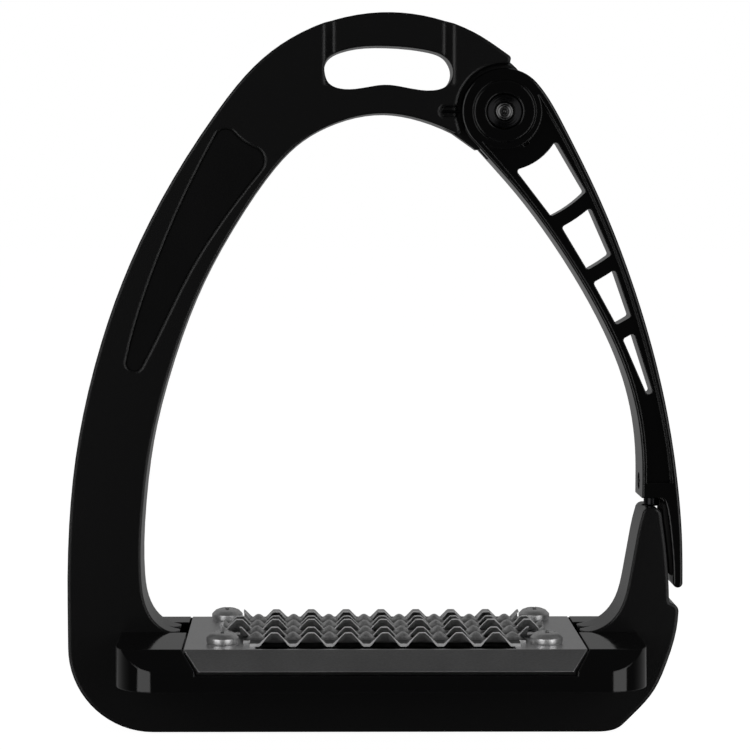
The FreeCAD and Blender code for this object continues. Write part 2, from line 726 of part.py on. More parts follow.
def make_latch():
    """Plunger, its spring, the dog screw that keeps it and the rubber stop on the tail."""
    place = ("Dims.plunger_x", "0", "0")
    plunger = turned("plunger", [
        ("0", "Dims.plunger_tip"),
        ("Dims.plunger_radius - 0.4", "Dims.plunger_tip"),
        ("Dims.plunger_radius", "Dims.plunger_tip + 0.4"),
        ("Dims.plunger_radius", "Dims.plunger_top"),
        ("0", "Dims.plunger_top"),
    ], place, "XZ_Plane")
    flat = new_sketch(plunger, "XZ_Plane")
    rectangle(flat, "-3", "-1.0", "Dims.stop_screw_z - 2.9", "Dims.stop_screw_z + 1.4")
    pocket(plunger, flat, "6", symmetric=True)
    wire = dim("Dims.plunger_wire_radius")
    low = dim("Dims.plunger_top") + wire + 0.02
    rise = dim("Dims.plunger_bore_top") - low - wire - 0.05
    shape = coil(dim("Dims.plunger_coil_radius"), wire, rise, dim("Dims.plunger_coil_turns"))
    above = Placement(Vector(dim("Dims.plunger_x"), 0, low), Rotation())
    add_shape("plunger_spring", shape, above)

    screw = new_body("plunger_stop_screw", ("0", "0", "Dims.stop_screw_z"))
    shank = new_sketch(screw, "YZ_Plane", "66.45")
    circle(shank, "0", "0", "Dims.stop_screw_radius")
    pad(screw, shank, "Dims.plunger_x - 1.1 - 66.45")
    head = new_sketch(screw, "YZ_Plane", "66.15")
    circle(head, "0", "0", "Dims.stop_screw_radius + 0.85")
    pad(screw, head, "0.4")
    key = new_sketch(screw, "YZ_Plane", "66.15")
    rectangle(key, "-1.3", "1.3", "-0.25", "0.25")
    pocket(screw, key, "0.3", reverse=True)

    stop = new_body("tail_stop", ("0", "0", "0"))
    block = new_sketch(stop, "XZ_Plane")
    outline(block, [
        [(73.0, 38.7), (74.2, 38.7)],
        [(74.2, 38.7), (74.2, 56.4)],
        [(74.2, 56.4), (71.3, 56.4)],
        [(71.3, 56.4), (71.3, 53.3)],
        [(71.3, 53.3), (72.3, 46.0), (73.0, 38.7)],
    ])
    pad(stop, block, "11.2", symmetric=True)


# ---------------------------------------------------------------- tread

# The bend of the plate shifts its inner corner by this share of the thickness.
MITRE = "0.4142"
DIAGONAL = "0.7071"
BEVEL_START = "Dims.platform_front + Dims.platform_bevel"
BEVEL_END = "Dims.platform_top - Dims.platform_bevel"
PLATE_FLOOR = "Dims.platform_top - Dims.plate_thick"

# Places of the four tread screws and of the three platform screws, in plan.
TREAD_SCREWS = [
    (
        "Dims.tread_x + %d * Dims.screw_pitch_x / 2" % side,
        "Dims.tread_y + %d * Dims.screw_pitch_y / 2" % end,
    )
    for end in (-1, 1)
    for side in (-1, 1)
]
PLATFORM_SCREWS = ["Dims.tread_x + %d * Dims.fixing_pitch" % side for side in (-1, 0, 1)]


def circles(sketch, places, radius):
    for x, y in places:
        circle(sketch, x, y, radius)


def make_platform():
    """The tread's holder: hollow below, with a recess for the plate and seats for its screws."""
    body = new_body("tread_platform")
    left = dim("Dims.platform_left")
    right = dim("Dims.platform_right")
    front = dim("Dims.platform_front")
    rear = dim("Dims.platform_rear")
    corner = dim("Dims.platform_corner")
    centres = [
        (right - corner, rear - corner),
        (left + corner, rear - corner),
        (left + corner, front + corner),
        (right - corner, front + corner),
    ]
    block = new_sketch(body, "XY_Plane", "Dims.platform_low")
    pieces = []
    for turn, centre in enumerate(centres):
        start = 90.0 * turn
        arc = [polar(corner, start + step, centre) for step in (0.0, 45.0, 90.0)]
        following = centres[(turn + 1) % 4]
        pieces.append(arc)
        pieces.append([arc[2], polar(corner, start + 90.0, following)])
    outline(block, pieces)
    pad(body, block, "Dims.platform_top - Dims.platform_low")

    recess = new_sketch(body, "YZ_Plane", "Dims.tread_x - Dims.plate_half - 0.5")
    polygon(recess, [
        ("Dims.plate_rear + 0.3", "Dims.platform_top + 1"),
        ("Dims.plate_rear + 0.3", PLATE_FLOOR),
        (BEVEL_START + " + Dims.plate_thick * " + MITRE, PLATE_FLOOR),
        ("Dims.platform_front + Dims.plate_thick * " + DIAGONAL,
         BEVEL_END + " - Dims.plate_thick * " + DIAGONAL),
        ("Dims.platform_front - 1", BEVEL_END + " - Dims.plate_thick * " + DIAGONAL),
        ("Dims.platform_front - 1", "Dims.platform_top + 1"),
    ])
    pocket(body, recess, "2 * Dims.plate_half + 1", reverse=True)

    # Beside the plate's flange the recess closes in along a slope.
    cheeks = new_sketch(body, "XY_Plane", BEVEL_END + " - 1.3")
    for side in ("-", "+"):
        inner = "Dims.tread_x %s (Dims.plate_half + 0.5)" % side
        slope = "Dims.tread_x %s (Dims.flange_half + 1.0)" % side
        polygon(cheeks, [
            (inner, BEVEL_START),
            (slope, "Dims.platform_front"),
            (inner, "Dims.platform_front"),
        ])
    pad(body, cheeks, "Dims.platform_bevel + 1.3")

    bevels = new_sketch(body, "YZ_Plane")
    for edge, sign in (("Dims.platform_front", "+"), ("Dims.platform_rear", "-")):
        polygon(bevels, [
            ("%s %s (Dims.platform_bevel + 1)" % (edge, sign), "Dims.platform_top + 1"),
            ("%s %s (-1)" % (edge, sign), "Dims.platform_top + 1"),
            ("%s %s (-1)" % (edge, sign), BEVEL_END + " - 1"),
        ])
    pocket(body, bevels, "200", symmetric=True)

    notches = new_sketch(body, "XY_Plane", "Dims.platform_low")
    half = "Dims.notch_half"
    rectangle(notches, "Dims.platform_left - 1", "Dims.notch_left", "-" + half, half)
    rectangle(notches, "Dims.notch_right", "Dims.platform_right + 1", "-" + half, half)
    pocket(body, notches, "20", reverse=True)

    hollow = new_sketch(body, "XY_Plane", "Dims.platform_low")
    low_x = "Dims.platform_left + Dims.platform_wall"
    high_x = "Dims.platform_right - Dims.platform_wall"
    web = "Dims.notch_half + 1.6"
    for near, far, step in (
        ("-(%s)" % web, "Dims.platform_front + Dims.platform_wall", "+ 5"),
        (web, "Dims.platform_rear - Dims.platform_wall", "- 5"),
    ):
        polygon(hollow, [
            (low_x, near),
            (low_x, far + step),
            (low_x + " + 5", far),
            (high_x + " - 5", far),
            (high_x, far + step),
            (high_x, near),
        ])
    pocket(body, hollow, "Dims.platform_roof - Dims.platform_low", reverse=True)
    bosses = new_sketch(body, "XY_Plane", "Dims.platform_low + 1.7")
    circles(bosses, TREAD_SCREWS, "Dims.insert_radius + 2.2")
    pad(body, bosses, "Dims.platform_roof - Dims.platform_low - 1.2")

    seats = new_sketch(body, "XY_Plane", PLATE_FLOOR)
    circles(seats, TREAD_SCREWS, "Dims.insert_radius")
    pocket(body, seats, "Dims.insert_length")
    shanks = new_sketch(body, "XY_Plane", PLATE_FLOOR)
    circles(shanks, TREAD_SCREWS, "Dims.tread_screw_radius + 0.1")
    pocket(body, shanks, PLATE_FLOOR + " - Dims.tread_screw_low + 0.2")

    nuts = new_sketch(body, "XY_Plane", PLATE_FLOOR)
    for place in PLATFORM_SCREWS:
        hexagon(nuts, place, "Dims.nut_radius + 0.05")
    pocket(body, nuts, "Dims.nut_height + 0.2")
    holes = new_sketch(body, "XY_Plane", "Dims.platform_low")
    circles(holes, [(place, "0") for place in PLATFORM_SCREWS], "Dims.fixing_radius + 0.15")
    pocket(body, holes, "20", reverse=True)


def hexagon(sketch, x, radius):
    """A hexagon about the point x on the sketch's horizontal axis."""
    corners = []
    for turn in range(6):
        across, along = polar(1.0, 60.0 * turn)
        corners.append(("%s + (%s) * %.6f" % (x, radius, across), "(%s) * %.6f" % (radius, along)))
    polygon(sketch, corners)


def make_plate():
    """The bent sheet that closes the platform, open under the grip."""
    body = new_body("tread_plate")
    section = new_sketch(body, "YZ_Plane", "Dims.tread_x - Dims.plate_half")
    polygon(section, [
        ("Dims.plate_rear", "Dims.platform_top"),
        (BEVEL_START, "Dims.platform_top"),
        ("Dims.platform_front", BEVEL_END),
        ("Dims.platform_front + Dims.plate_thick * " + DIAGONAL,
         BEVEL_END + " - Dims.plate_thick * " + DIAGONAL),
        (BEVEL_START + " + Dims.plate_thick * " + MITRE, PLATE_FLOOR),
        ("Dims.plate_rear", PLATE_FLOOR),
    ])
    pad(body, section, "2 * Dims.plate_half")
    ends = new_sketch(body, "XY_Plane", BEVEL_END + " - 3")
    for side in ("-", "+"):
        polygon(ends, [
            ("Dims.tread_x %s Dims.plate_half" % side, BEVEL_START),
            ("Dims.tread_x %s Dims.flange_half" % side, "Dims.platform_front"),
            ("Dims.tread_x %s Dims.flange_half" % side, "Dims.platform_front - 1"),
            ("Dims.tread_x %s (Dims.plate_half + 1)" % side, "Dims.platform_front - 1"),
            ("Dims.tread_x %s (Dims.plate_half + 1)" % side, BEVEL_START),
        ])
    pocket(body, ends, "10", reverse=True)
    opening = new_sketch(body, "XY_Plane", PLATE_FLOOR)
    rectangle(
        opening,
        "Dims.tread_x - Dims.opening_half",
        "Dims.tread_x + Dims.opening_half",
        "Dims.opening_front",
        "Dims.opening_rear",
    )
    circles(opening, TREAD_SCREWS, "Dims.tread_screw_radius + 0.15")
    pocket(body, opening, "5", reverse=True)


# Strips of the grip from the toe side: teeth or cones, how many, and half the strip's length.
GRIP_STRIPS = [
    ("teeth", 7, 32.4),
    ("cones", 8, 34.0),
    ("teeth", 9, 35.0),
    ("cones", 8, 39.4),
    ("teeth", 9, 39.4),
    ("cones", 8, 39.4),
    ("teeth", 9, 39.4),
    ("cones", 8, 34.9),
    ("teeth", 9, 34.7),
]


def toothed_strip(peaks, half, front):
    """A strip pressed into 45-degree teeth, cut off square at its ends."""
    thick = dim("Dims.grip_sheet")
    rise = dim("Dims.grip_height") - thick
    crest = dim("Dims.grip_crest")
    middle = dim("Dims.tread_x")
    floor = dim("Dims.platform_top")
    shift = dim(MITRE) * thick / 2
    reach = half + dim("Dims.grip_pitch")
    sides = []
    for offset, height in ((-shift, floor), (shift, floor + thick)):
        line = [(middle - reach, height)]
        for peak in peaks:
            line.append((peak - crest - rise - offset, height))
            line.append((peak - crest - offset, height + rise))
            line.append((peak + crest + offset, height + rise))
            line.append((peak + crest + rise + offset, height))
        line.append((middle + reach, height))
        sides.append(line)
    under, over = sides
    corners = [Vector(x, front, z) for x, z in under + over[::-1]]
    face = Part.Face(Part.makePolygon(corners + corners[:1]))
    strip = face.extrude(Vector(0, dim("Dims.grip_strip"), 0))
    window = Part.makeBox(2 * half, 20, 20, Vector(middle - half, front - 5, floor - 5))
    return strip.common(window)


def coned_strip(peaks, half, front):
    """A flat strip with pressed-up cones."""
    thick = dim("Dims.grip_sheet")
    wide = dim("Dims.grip_strip")
    floor = dim("Dims.platform_top")
    height = dim("Dims.cone_height") - thick
    strip = Part.makeBox(2 * half, wide, thick, Vector(dim("Dims.tread_x") - half, front, floor))
    cones = []
    for peak in peaks:
        foot = Vector(peak, front + wide / 2, floor + thick)
        cones.append(Part.makeCone(dim("Dims.cone_radius"), dim("Dims.cone_tip"), height, foot))
    return strip.fuse(cones)


def make_grip():
    """The grip: one sheet with strips of lanced teeth, and cones between them in the gaps."""
    pitch = dim("Dims.grip_pitch")
    strips = []
    for number, (kind, count, half) in enumerate(GRIP_STRIPS):
        front = dim("Dims.grip_front") + number * dim("Dims.grip_strip")
        peaks = [dim("Dims.tread_x") + pitch * (step - (count - 1) / 2) for step in range(count)]
        shape = toothed_strip if kind == "teeth" else coned_strip
        strips.append(shape(peaks, half, front))
    heads = []
    for x, y in TREAD_SCREWS:
        low = Vector(dim(x), dim(y), dim("Dims.platform_top") - 1)
        heads.append(Part.makeCylinder(dim("Dims.tread_head_radius") + 0.25, 10, low))
    add_shape("tread_grip", strips[0].fuse(strips[1:]).cut(heads).removeSplitter(), Placement())


def cross(sketch, reach, half):
    """A cross-shaped polygon about the sketch's origin."""
    corners = []
    for ux, uy in ((1, 0), (0, 1), (-1, 0), (0, -1)):
        for along, across in ((reach, -half), (reach, half), (half, half)):
            corners.append((str(ux * along - uy * across), str(uy * along + ux * across)))
    polygon(sketch, corners)


def make_tread_screws():
    """Pan-head screws and the threaded inserts that they run in."""
    low = "Dims.tread_screw_low - Dims.platform_top"
    for number, (x, y) in enumerate(TREAD_SCREWS, start=1):
        screw = turned("tread_screw_%d" % number, [
            ("0", low),
            ("Dims.tread_screw_radius - 0.5", low),
            ("Dims.tread_screw_radius", low + " + 0.5"),
            ("Dims.tread_screw_radius", "0"),
            ("Dims.tread_head_radius * 0.95", "0"),
            ("Dims.tread_head_radius", "Dims.tread_head_height * 0.2"),
            ("Dims.tread_head_radius", "Dims.tread_head_height * 0.49"),
            ("Dims.tread_head_radius * 0.95", "Dims.tread_head_height * 0.57"),
            ("Dims.tread_head_radius * 0.77", "Dims.tread_head_height * 0.8"),
            ("Dims.tread_head_radius * 0.51", "Dims.tread_head_height * 0.93"),
            ("Dims.tread_head_radius * 0.25", "Dims.tread_head_height"),
            ("0", "Dims.tread_head_height"),
        ], (x, y, "Dims.platform_top"), "XZ_Plane")
        recess = new_sketch(screw, "XY_Plane", "Dims.tread_head_height")
        cross(recess, 2.1, 0.45)
        pocket(screw, recess, "1.5")
        turned("tread_insert_%d" % number, [
            ("Dims.tread_screw_radius", "-Dims.insert_length"),
            ("Dims.insert_radius", "-Dims.insert_length"),
            ("Dims.insert_radius", "0"),
            ("Dims.tread_screw_radius", "0"),
        ], (x, y, PLATE_FLOOR), "XZ_Plane")


def make_platform_screws():
    """Socket screws from below and the nuts that hold the platform to the base bar."""
    head_low = "Dims.seat_depth - Dims.fixing_head_height"
    for number, x in enumerate(PLATFORM_SCREWS, start=1):
        turned("platform_screw_%d" % number, [
            ("0", head_low + " + 2.4"),
            ("2.2", head_low + " + 2.4"),
            ("2.2", head_low),
            ("Dims.fixing_head_radius - 0.3", head_low),
            ("Dims.fixing_head_radius", head_low + " + 0.3"),
            ("Dims.fixing_head_radius", "Dims.seat_depth"),
            ("Dims.fixing_radius", "Dims.seat_depth"),
            ("Dims.fixing_radius", "Dims.fixing_top"),
            ("0", "Dims.fixing_top"),
        ], (x, "0", "0"), "XZ_Plane")
        nut = new_body("platform_nut_%d" % number, (x, "0", PLATE_FLOOR + " - Dims.nut_height - 0.2"))
        sketch = new_sketch(nut, "XY_Plane")
        hexagon(sketch, "0", "Dims.nut_radius")
        circle(sketch, "0", "0", "Dims.fixing_radius")
        pad(nut, sketch, "Dims.nut_height")


# ---------------------------------------------------------------- the part

make_frame()
make_inlays()
make_arm()
make_hinge()
make_spring()
make_latch()
make_platform()
make_plate()
make_grip()
make_tread_screws()
make_platform_screws()
doc.recompute()

for thing in doc.Objects:
    if "Invalid" in thing.State or "Error" in thing.State:
        raise RuntimeError("%s did not recompute" % thing.Label)

os.makedirs("parts", exist_ok=True)
for part in sub_parts:
    if part.Shape.isNull() or not part.Shape.isValid() or len(part.Shape.Solids) != 1:
        raise RuntimeError("%s is not one valid solid" % part.Label)
    part.Shape.exportStep("parts/%s.step" % part.Label)
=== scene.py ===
"""Looks of a safety stirrup iron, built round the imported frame.

Lengths are metres in the row frame: +Z up, +X towards the release arm, -Y towards the toe side.
"""

import math

import bmesh
import bpy
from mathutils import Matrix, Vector


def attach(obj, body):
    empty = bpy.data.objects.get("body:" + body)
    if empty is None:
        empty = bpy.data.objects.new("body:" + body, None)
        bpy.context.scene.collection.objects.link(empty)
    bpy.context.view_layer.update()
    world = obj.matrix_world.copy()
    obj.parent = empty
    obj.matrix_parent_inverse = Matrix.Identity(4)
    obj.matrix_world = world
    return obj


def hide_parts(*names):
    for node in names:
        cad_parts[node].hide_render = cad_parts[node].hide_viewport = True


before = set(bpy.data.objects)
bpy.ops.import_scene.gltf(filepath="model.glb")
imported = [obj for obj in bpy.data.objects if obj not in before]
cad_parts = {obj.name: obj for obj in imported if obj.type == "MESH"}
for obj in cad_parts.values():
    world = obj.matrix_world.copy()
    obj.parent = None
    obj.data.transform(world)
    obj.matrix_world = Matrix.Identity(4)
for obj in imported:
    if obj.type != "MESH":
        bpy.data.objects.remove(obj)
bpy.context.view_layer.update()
MM = 0.001

# The hinge axis runs along Y through this point.
HINGE_X = 31.7 * MM
HINGE_Z = 153.2 * MM


# ---------------------------------------------------------------- materials


def new_material(name, colour, roughness, metallic=0.0):
    """A material with its shader's own sockets set, and the parts that later calls build on."""
    material = bpy.data.materials.new(name)
    material.use_nodes = True
    tree = material.node_tree
    shader = tree.nodes["Principled BSDF"]
    shader.inputs["Base Color"].default_value = (*colour, 1.0)
    shader.inputs["Roughness"].default_value = roughness
    shader.inputs["Metallic"].default_value = metallic
    return material, tree, shader


def coordinates(tree, stretch=(1.0, 1.0, 1.0), shift=(0.0, 0.0, 0.0)):
    """Object coordinates in metres, stretched along the axes and then shifted."""
    source = tree.nodes.new("ShaderNodeTexCoord")
    mapping = tree.nodes.new("ShaderNodeMapping")
    mapping.inputs["Scale"].default_value = stretch
    mapping.inputs["Location"].default_value = shift
    tree.links.new(source.outputs["Object"], mapping.inputs["Vector"])
    return mapping.outputs["Vector"]


def noise(tree, scale, detail=4.0, stretch=(1.0, 1.0, 1.0)):
    """Noise from 0 to 1 whose features are about 1 / scale metres across."""
    texture = tree.nodes.new("ShaderNodeTexNoise")
    texture.inputs["Scale"].default_value = scale
    texture.inputs["Detail"].default_value = detail
    tree.links.new(coordinates(tree, stretch), texture.inputs["Vector"])
    return texture.outputs["Fac"]


def spread(tree, source, low, high, low_in=0.3, high_in=0.7):
    """The source's values from low_in to high_in, mapped to low..high."""
    ranges = tree.nodes.new("ShaderNodeMapRange")
    ranges.inputs["From Min"].default_value = low_in
    ranges.inputs["From Max"].default_value = high_in
    ranges.inputs["To Min"].default_value = low
    ranges.inputs["To Max"].default_value = high
    tree.links.new(source, ranges.inputs["Value"])
    return ranges.outputs["Result"]


def blend_colours(tree, factor, first, second):
    """A mix of two colours, or of a colour and another node's colour."""
    mix = tree.nodes.new("ShaderNodeMix")
    mix.data_type = "RGBA"
    tree.links.new(factor, mix.inputs[0])
    for socket, colour in ((mix.inputs[6], first), (mix.inputs[7], second)):
        if isinstance(colour, tuple):
            socket.default_value = (*colour, 1.0)
        else:
            tree.links.new(colour, socket)
    return mix.outputs[2]


def soft_normal(tree, radius, samples):
    """Normals that turn smoothly round the edges, within a radius in metres."""
    soft = tree.nodes.new("ShaderNodeBevel")
    soft.samples = samples
    soft.inputs["Radius"].default_value = radius
    return soft.outputs["Normal"]


def add_bumps(tree, shader, layers, rim=0.15 * MM):
    """Bump layers of (height, strength, depth in metres) over edges softened by a rim radius."""
    normal = soft_normal(tree, rim, 6)
    for height, strength, depth in layers:
        bump = tree.nodes.new("ShaderNodeBump")
        bump.inputs["Strength"].default_value = strength
        bump.inputs["Distance"].default_value = depth
        tree.links.new(height, bump.inputs["Height"])
        tree.links.new(normal, bump.inputs["Normal"])
        normal = bump.outputs["Normal"]
    tree.links.new(normal, shader.inputs["Normal"])


def edge_wear(tree):
    """1 near worn edges, broken up by noise, and 0 elsewhere."""
    geometry = tree.nodes.new("ShaderNodeNewGeometry")
    facing = tree.nodes.new("ShaderNodeVectorMath")
    facing.operation = "DOT_PRODUCT"
    tree.links.new(soft_normal(tree, 0.3 * MM, 4), facing.inputs[0])
    tree.links.new(geometry.outputs["Normal"], facing.inputs[1])
    edges = spread(tree, facing.outputs["Value"], 1.0, 0.0, 0.85, 0.97)
    patches = spread(tree, noise(tree, 160.0), 0.0, 1.0, 0.42, 0.62)
    product = tree.nodes.new("ShaderNodeMath")
    product.operation = "MULTIPLY"
    tree.links.new(edges, product.inputs[0])
    tree.links.new(patches, product.inputs[1])
    return product.outputs["Value"]


def powder_coat():
    """Satin black powder coat: fine orange peel, faint cloudiness and slightly worn rims."""
    material, tree, shader = new_material("powder_coat", (0.01, 0.01, 0.0102), 0.18)
    clouds = noise(tree, 45.0)
    colour = blend_colours(tree, clouds, (0.0094, 0.0094, 0.0096), (0.0106, 0.0106, 0.0108))
    worn = blend_colours(tree, edge_wear(tree), colour, (0.018, 0.018, 0.0185))
    tree.links.new(worn, shader.inputs["Base Color"])
    tree.links.new(spread(tree, noise(tree, 700.0), 0.175, 0.185), shader.inputs["Roughness"])
    peel = (noise(tree, 850.0, 2.0), 0.10, 0.04 * MM)
    grain = (noise(tree, 4200.0, 2.0), 0.10, 0.01 * MM)
    add_bumps(tree, shader, [peel, grain], 1.1 * MM)
    return material


def lacquer():
    """Glossy black coat over machined metal, with hairline scratches in its gloss."""
    black = (0.0022, 0.0022, 0.0023)
    material, tree, shader = new_material("lacquer", black, 0.08)
    hairs = noise(tree, 240.0, 3.0, (1.0, 1.0, 9.0))
    tree.links.new(spread(tree, hairs, 0.0736, 0.088), shader.inputs["Roughness"])
    worn = blend_colours(tree, edge_wear(tree), black, (0.02, 0.02, 0.021))
    tree.links.new(worn, shader.inputs["Base Color"])
    add_bumps(tree, shader, [(noise(tree, 1500.0, 2.0), 0.05, 0.006 * MM)], 0.4 * MM)
    return material


def gloss_plastic():
    """Glossy moulded black plastic with a faint flow pattern and handling marks."""
    material, tree, shader = new_material("gloss_plastic", (0.004, 0.004, 0.0042), 0.09)
    marks = noise(tree, 120.0, 6.0, (1.0, 3.0, 1.0))
    tree.links.new(spread(tree, marks, 0.07, 0.12), shader.inputs["Roughness"])
    add_bumps(tree, shader, [(noise(tree, 260.0, 2.0), 0.05, 0.03 * MM)], 0.5 * MM)
    return material


def matte_inlay():
    """Matt black insert with a fine moulded grain."""
    material, tree, shader = new_material("matte_inlay", (0.006, 0.006, 0.0062), 0.6)
    shader.inputs["Specular IOR Level"].default_value = 0.1
    tree.links.new(spread(tree, noise(tree, 90.0), 0.56, 0.7), shader.inputs["Roughness"])
    grain = tree.nodes.new("ShaderNodeTexVoronoi")
    grain.inputs["Scale"].default_value = 1900.0
    tree.links.new(coordinates(tree), grain.inputs["Vector"])
    add_bumps(tree, shader, [(grain.outputs["Distance"], 0.25, 0.06 * MM)])
    return material


def metal(name, colour, roughness, grain=(1.0, 1.0, 1.0)):
    """Bare or plated metal: fine grain along one direction and faint stains in its gloss."""
    material, tree, shader = new_material(name, colour, roughness, metallic=1.0)
    stains = noise(tree, 130.0, 5.0)
    gloss = spread(tree, stains, roughness * 0.94, roughness * 1.08)
    tree.links.new(gloss, shader.inputs["Roughness"])
    dark = tuple(0.82 * part for part in colour)
    streaks = spread(tree, noise(tree, 1500.0, 3.0, grain), 0.0, 1.0)
    tree.links.new(blend_colours(tree, streaks, dark, colour), shader.inputs["Base Color"])
    add_bumps(tree, shader, [(noise(tree, 2600.0, 3.0, grain), 0.2, 0.02 * MM)])
    return material


def pressed_steel_with_painted_shade():
    """Coarse-grained pressed sheet in bright grained steel, with painted shade making its low,
    flat places near black.
    """
    shaded_below = 25.6 * MM
    unshaded_above = 26.3 * MM
    material, tree, shader = new_material("pressed_steel_with_painted_shade", (0.7, 0.7, 0.7), 0.42, metallic=1.0)
    parts = tree.nodes.new("ShaderNodeSeparateXYZ")
    tree.links.new(coordinates(tree), parts.inputs["Vector"])
    # Painted shade: the colour darkens from the sheet's high parts down to its low, flat places,
    # where shade falls.
    raised = spread(tree, parts.outputs["Z"], 0.0, 1.0, shaded_below, unshaded_above)
    grain = noise(tree, 1400.0, 3.0)
    bright = blend_colours(tree, spread(tree, grain, 0.0, 1.0), (0.6, 0.6, 0.6), (1.0, 1.0, 1.0))
    tone = blend_colours(tree, raised, (0.12, 0.12, 0.12), bright)
    tree.links.new(tone, shader.inputs["Base Color"])
    add_bumps(tree, shader, [(grain, 0.35, 0.1 * MM)], 0.1 * MM)
    return material


def cut_edge_painted_highlight():
    """The torn edge of cut sheet, coloured near white as a painted highlight, with real torn tone
    and bumps.
    """
    material, tree, shader = new_material("cut_edge_painted_highlight", (0.95, 0.95, 0.95), 0.3, metallic=0.1)
    tears = noise(tree, 1800.0, 3.0, (1.0, 1.0, 0.3))
    # Painted highlight: the near-white, mostly diffuse colour makes the edge shine under any
    # light.
    tone = blend_colours(tree, spread(tree, tears, 0.0, 1.0), (0.9, 0.9, 0.9), (1.0, 1.0, 1.0))
    tree.links.new(tone, shader.inputs["Base Color"])
    add_bumps(tree, shader, [(tears, 0.3, 0.05 * MM)], 0.1 * MM)
    return material


def turned_steel():
    """Blackened screw head with bright turned rings in its socket, about the hinge axis."""
    groove = 0.28 * MM
    ringed_within = 2.5 * MM
    black_beyond = 2.8 * MM
    material, tree, shader = new_material("turned_steel", (0.02, 0.02, 0.021), 0.25, metallic=1.0)
    radius = tree.nodes.new("ShaderNodeVectorMath")
    radius.operation = "LENGTH"
    about_hinge = coordinates(tree, (1.0, 0.0, 1.0), (-HINGE_X, 0.0, -HINGE_Z))
    tree.links.new(about_hinge, radius.inputs[0])
    turns = tree.nodes.new("ShaderNodeMath")
    turns.operation = "PINGPONG"
    turns.inputs[1].default_value = groove
    tree.links.new(radius.outputs["Value"], turns.inputs[0])
    rings = spread(tree, turns.outputs["Value"], 0.0, 1.0, 0.0, groove)
    ringed = blend_colours(tree, rings, (0.015, 0.015, 0.015), (0.16, 0.16, 0.16))
    bare = spread(tree, radius.outputs["Value"], 1.0, 0.0, ringed_within, black_beyond)
    tone = blend_colours(tree, bare, (0.012, 0.012, 0.0125), ringed)
    tree.links.new(tone, shader.inputs["Base Color"])
    grain = noise(tree, 2600.0, 3.0)
    add_bumps(tree, shader, [(rings, 0.8, 0.12 * MM), (grain, 0.2, 0.03 * MM)])
    return material


def dull_steel():
    """The unpolished inner side of pressed sheet, which scatters more than it reflects."""
    material, tree, shader = new_material("dull_steel", (0.5, 0.5, 0.5), 0.6, metallic=0.2)
    tone = blend_colours(tree, noise(tree, 900.0), (0.42, 0.42, 0.42), (0.6, 0.6, 0.6))
    tree.links.new(tone, shader.inputs["Base Color"])
    add_bumps(tree, shader, [(noise(tree, 2600.0, 3.0), 0.2, 0.04 * MM)])
    return material


def rubber():
    """Soft black rubber with a dull, dusty surface."""
    material, tree, shader = new_material("rubber", (0.012, 0.012, 0.012), 0.8)
    dust = spread(tree, noise(tree, 300.0), 0.0, 1.0)
    tone = blend_colours(tree, dust, (0.01, 0.01, 0.01), (0.02, 0.019, 0.018))
    tree.links.new(tone, shader.inputs["Base Color"])
    add_bumps(tree, shader, [(noise(tree, 2200.0), 0.3, 0.04 * MM)])
    return material


COAT = powder_coat()
INLAY = matte_inlay()
LACQUER = lacquer()
PLASTIC = gloss_plastic()
PLATE = metal("satin_plate", (0.72, 0.72, 0.725), 0.34, (1.0, 6.0, 1.0))
GRIP = pressed_steel_with_painted_shade()
CUT_EDGE_PAINTED_HIGHLIGHT = cut_edge_painted_highlight()
HOOD_INSIDE = dull_steel()
SCREW = metal("screw_steel", (0.95, 0.95, 0.95), 0.42)
HINGE_SCREW = turned_steel()
PIN_STEEL = metal("ground_steel", (0.30, 0.30, 0.31), 0.25, (1.0, 1.0, 8.0))
SPRING = metal("spring_steel", (0.015, 0.015, 0.016), 0.3)
BLACK_STEEL = metal("blackened_steel", (0.03, 0.03, 0.032), 0.3)
BRONZE = metal("bronze", (0.42, 0.27, 0.12), 0.35)
BRASS = metal("brass", (0.62, 0.44, 0.17), 0.3)
RUBBER = rubber()


# ---------------------------------------------------------------- pieces

# Points closer than WELD become one, and facets within FLAT of one plane become one face.
WELD = 0.002 * MM
FLAT = math.radians(0.6)

# Edges that turn more than SHARP are rounded.
SHARP = math.radians(28.0)
ROUNDING_STEPS = 3

TREAD_SCREWS = (1, 2, 3, 4)
PLATFORM_SCREWS = (1, 2, 3)


def add_piece(name, mesh, body, node, material):
    """A new piece that rides on a body and stands for a CAD node."""
    piece = bpy.data.objects.new(name, mesh)
    bpy.context.scene.collection.objects.link(piece)
    mesh.materials.append(material)
    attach(piece, body)
    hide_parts(node)
    return piece


def round_piece(piece, width):
    """Round the piece's sharp edges and shade it smoothly."""
    bevel = piece.modifiers.new("rounding", "BEVEL")
    bevel.width = width
    bevel.segments = ROUNDING_STEPS
    bevel.limit_method = "ANGLE"
    bevel.angle_limit = SHARP
    bevel.miter_outer = "MITER_ARC"
    shading = piece.modifiers.new("shading", "WEIGHTED_NORMAL")
    shading.keep_sharp = False
    for face in piece.data.polygons:
        face.use_smooth = True


def rounded_copy(node, body, material, width):
    """A copy of a CAD node with its facets joined and its sharp edges rounded."""
    shell = bmesh.new()
    shell.from_mesh(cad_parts[node].data)
    bmesh.ops.remove_doubles(shell, verts=shell.verts, dist=WELD)
    bmesh.ops.dissolve_limit(shell, angle_limit=FLAT, verts=shell.verts, edges=shell.edges)
    mesh = bpy.data.meshes.new(node + "_finished")
    shell.to_mesh(mesh)
    shell.free()
    piece = add_piece(node + "_finished", mesh, body, node, material)
    round_piece(piece, width)


rounded_copy("frame", "ring", COAT, 0.3 * MM)
rounded_copy("leg_inlay_front", "ring", INLAY, 0.2 * MM)
rounded_copy("leg_inlay_rear", "ring", INLAY, 0.2 * MM)
rounded_copy("release_arm", "arm", LACQUER, 0.35 * MM)
rounded_copy("tread_platform", "ring", PLASTIC, 0.35 * MM)
rounded_copy("tread_plate", "ring", PLATE, 0.2 * MM)
for number in TREAD_SCREWS:
    rounded_copy("tread_screw_%d" % number, "ring", SCREW, 0.12 * MM)

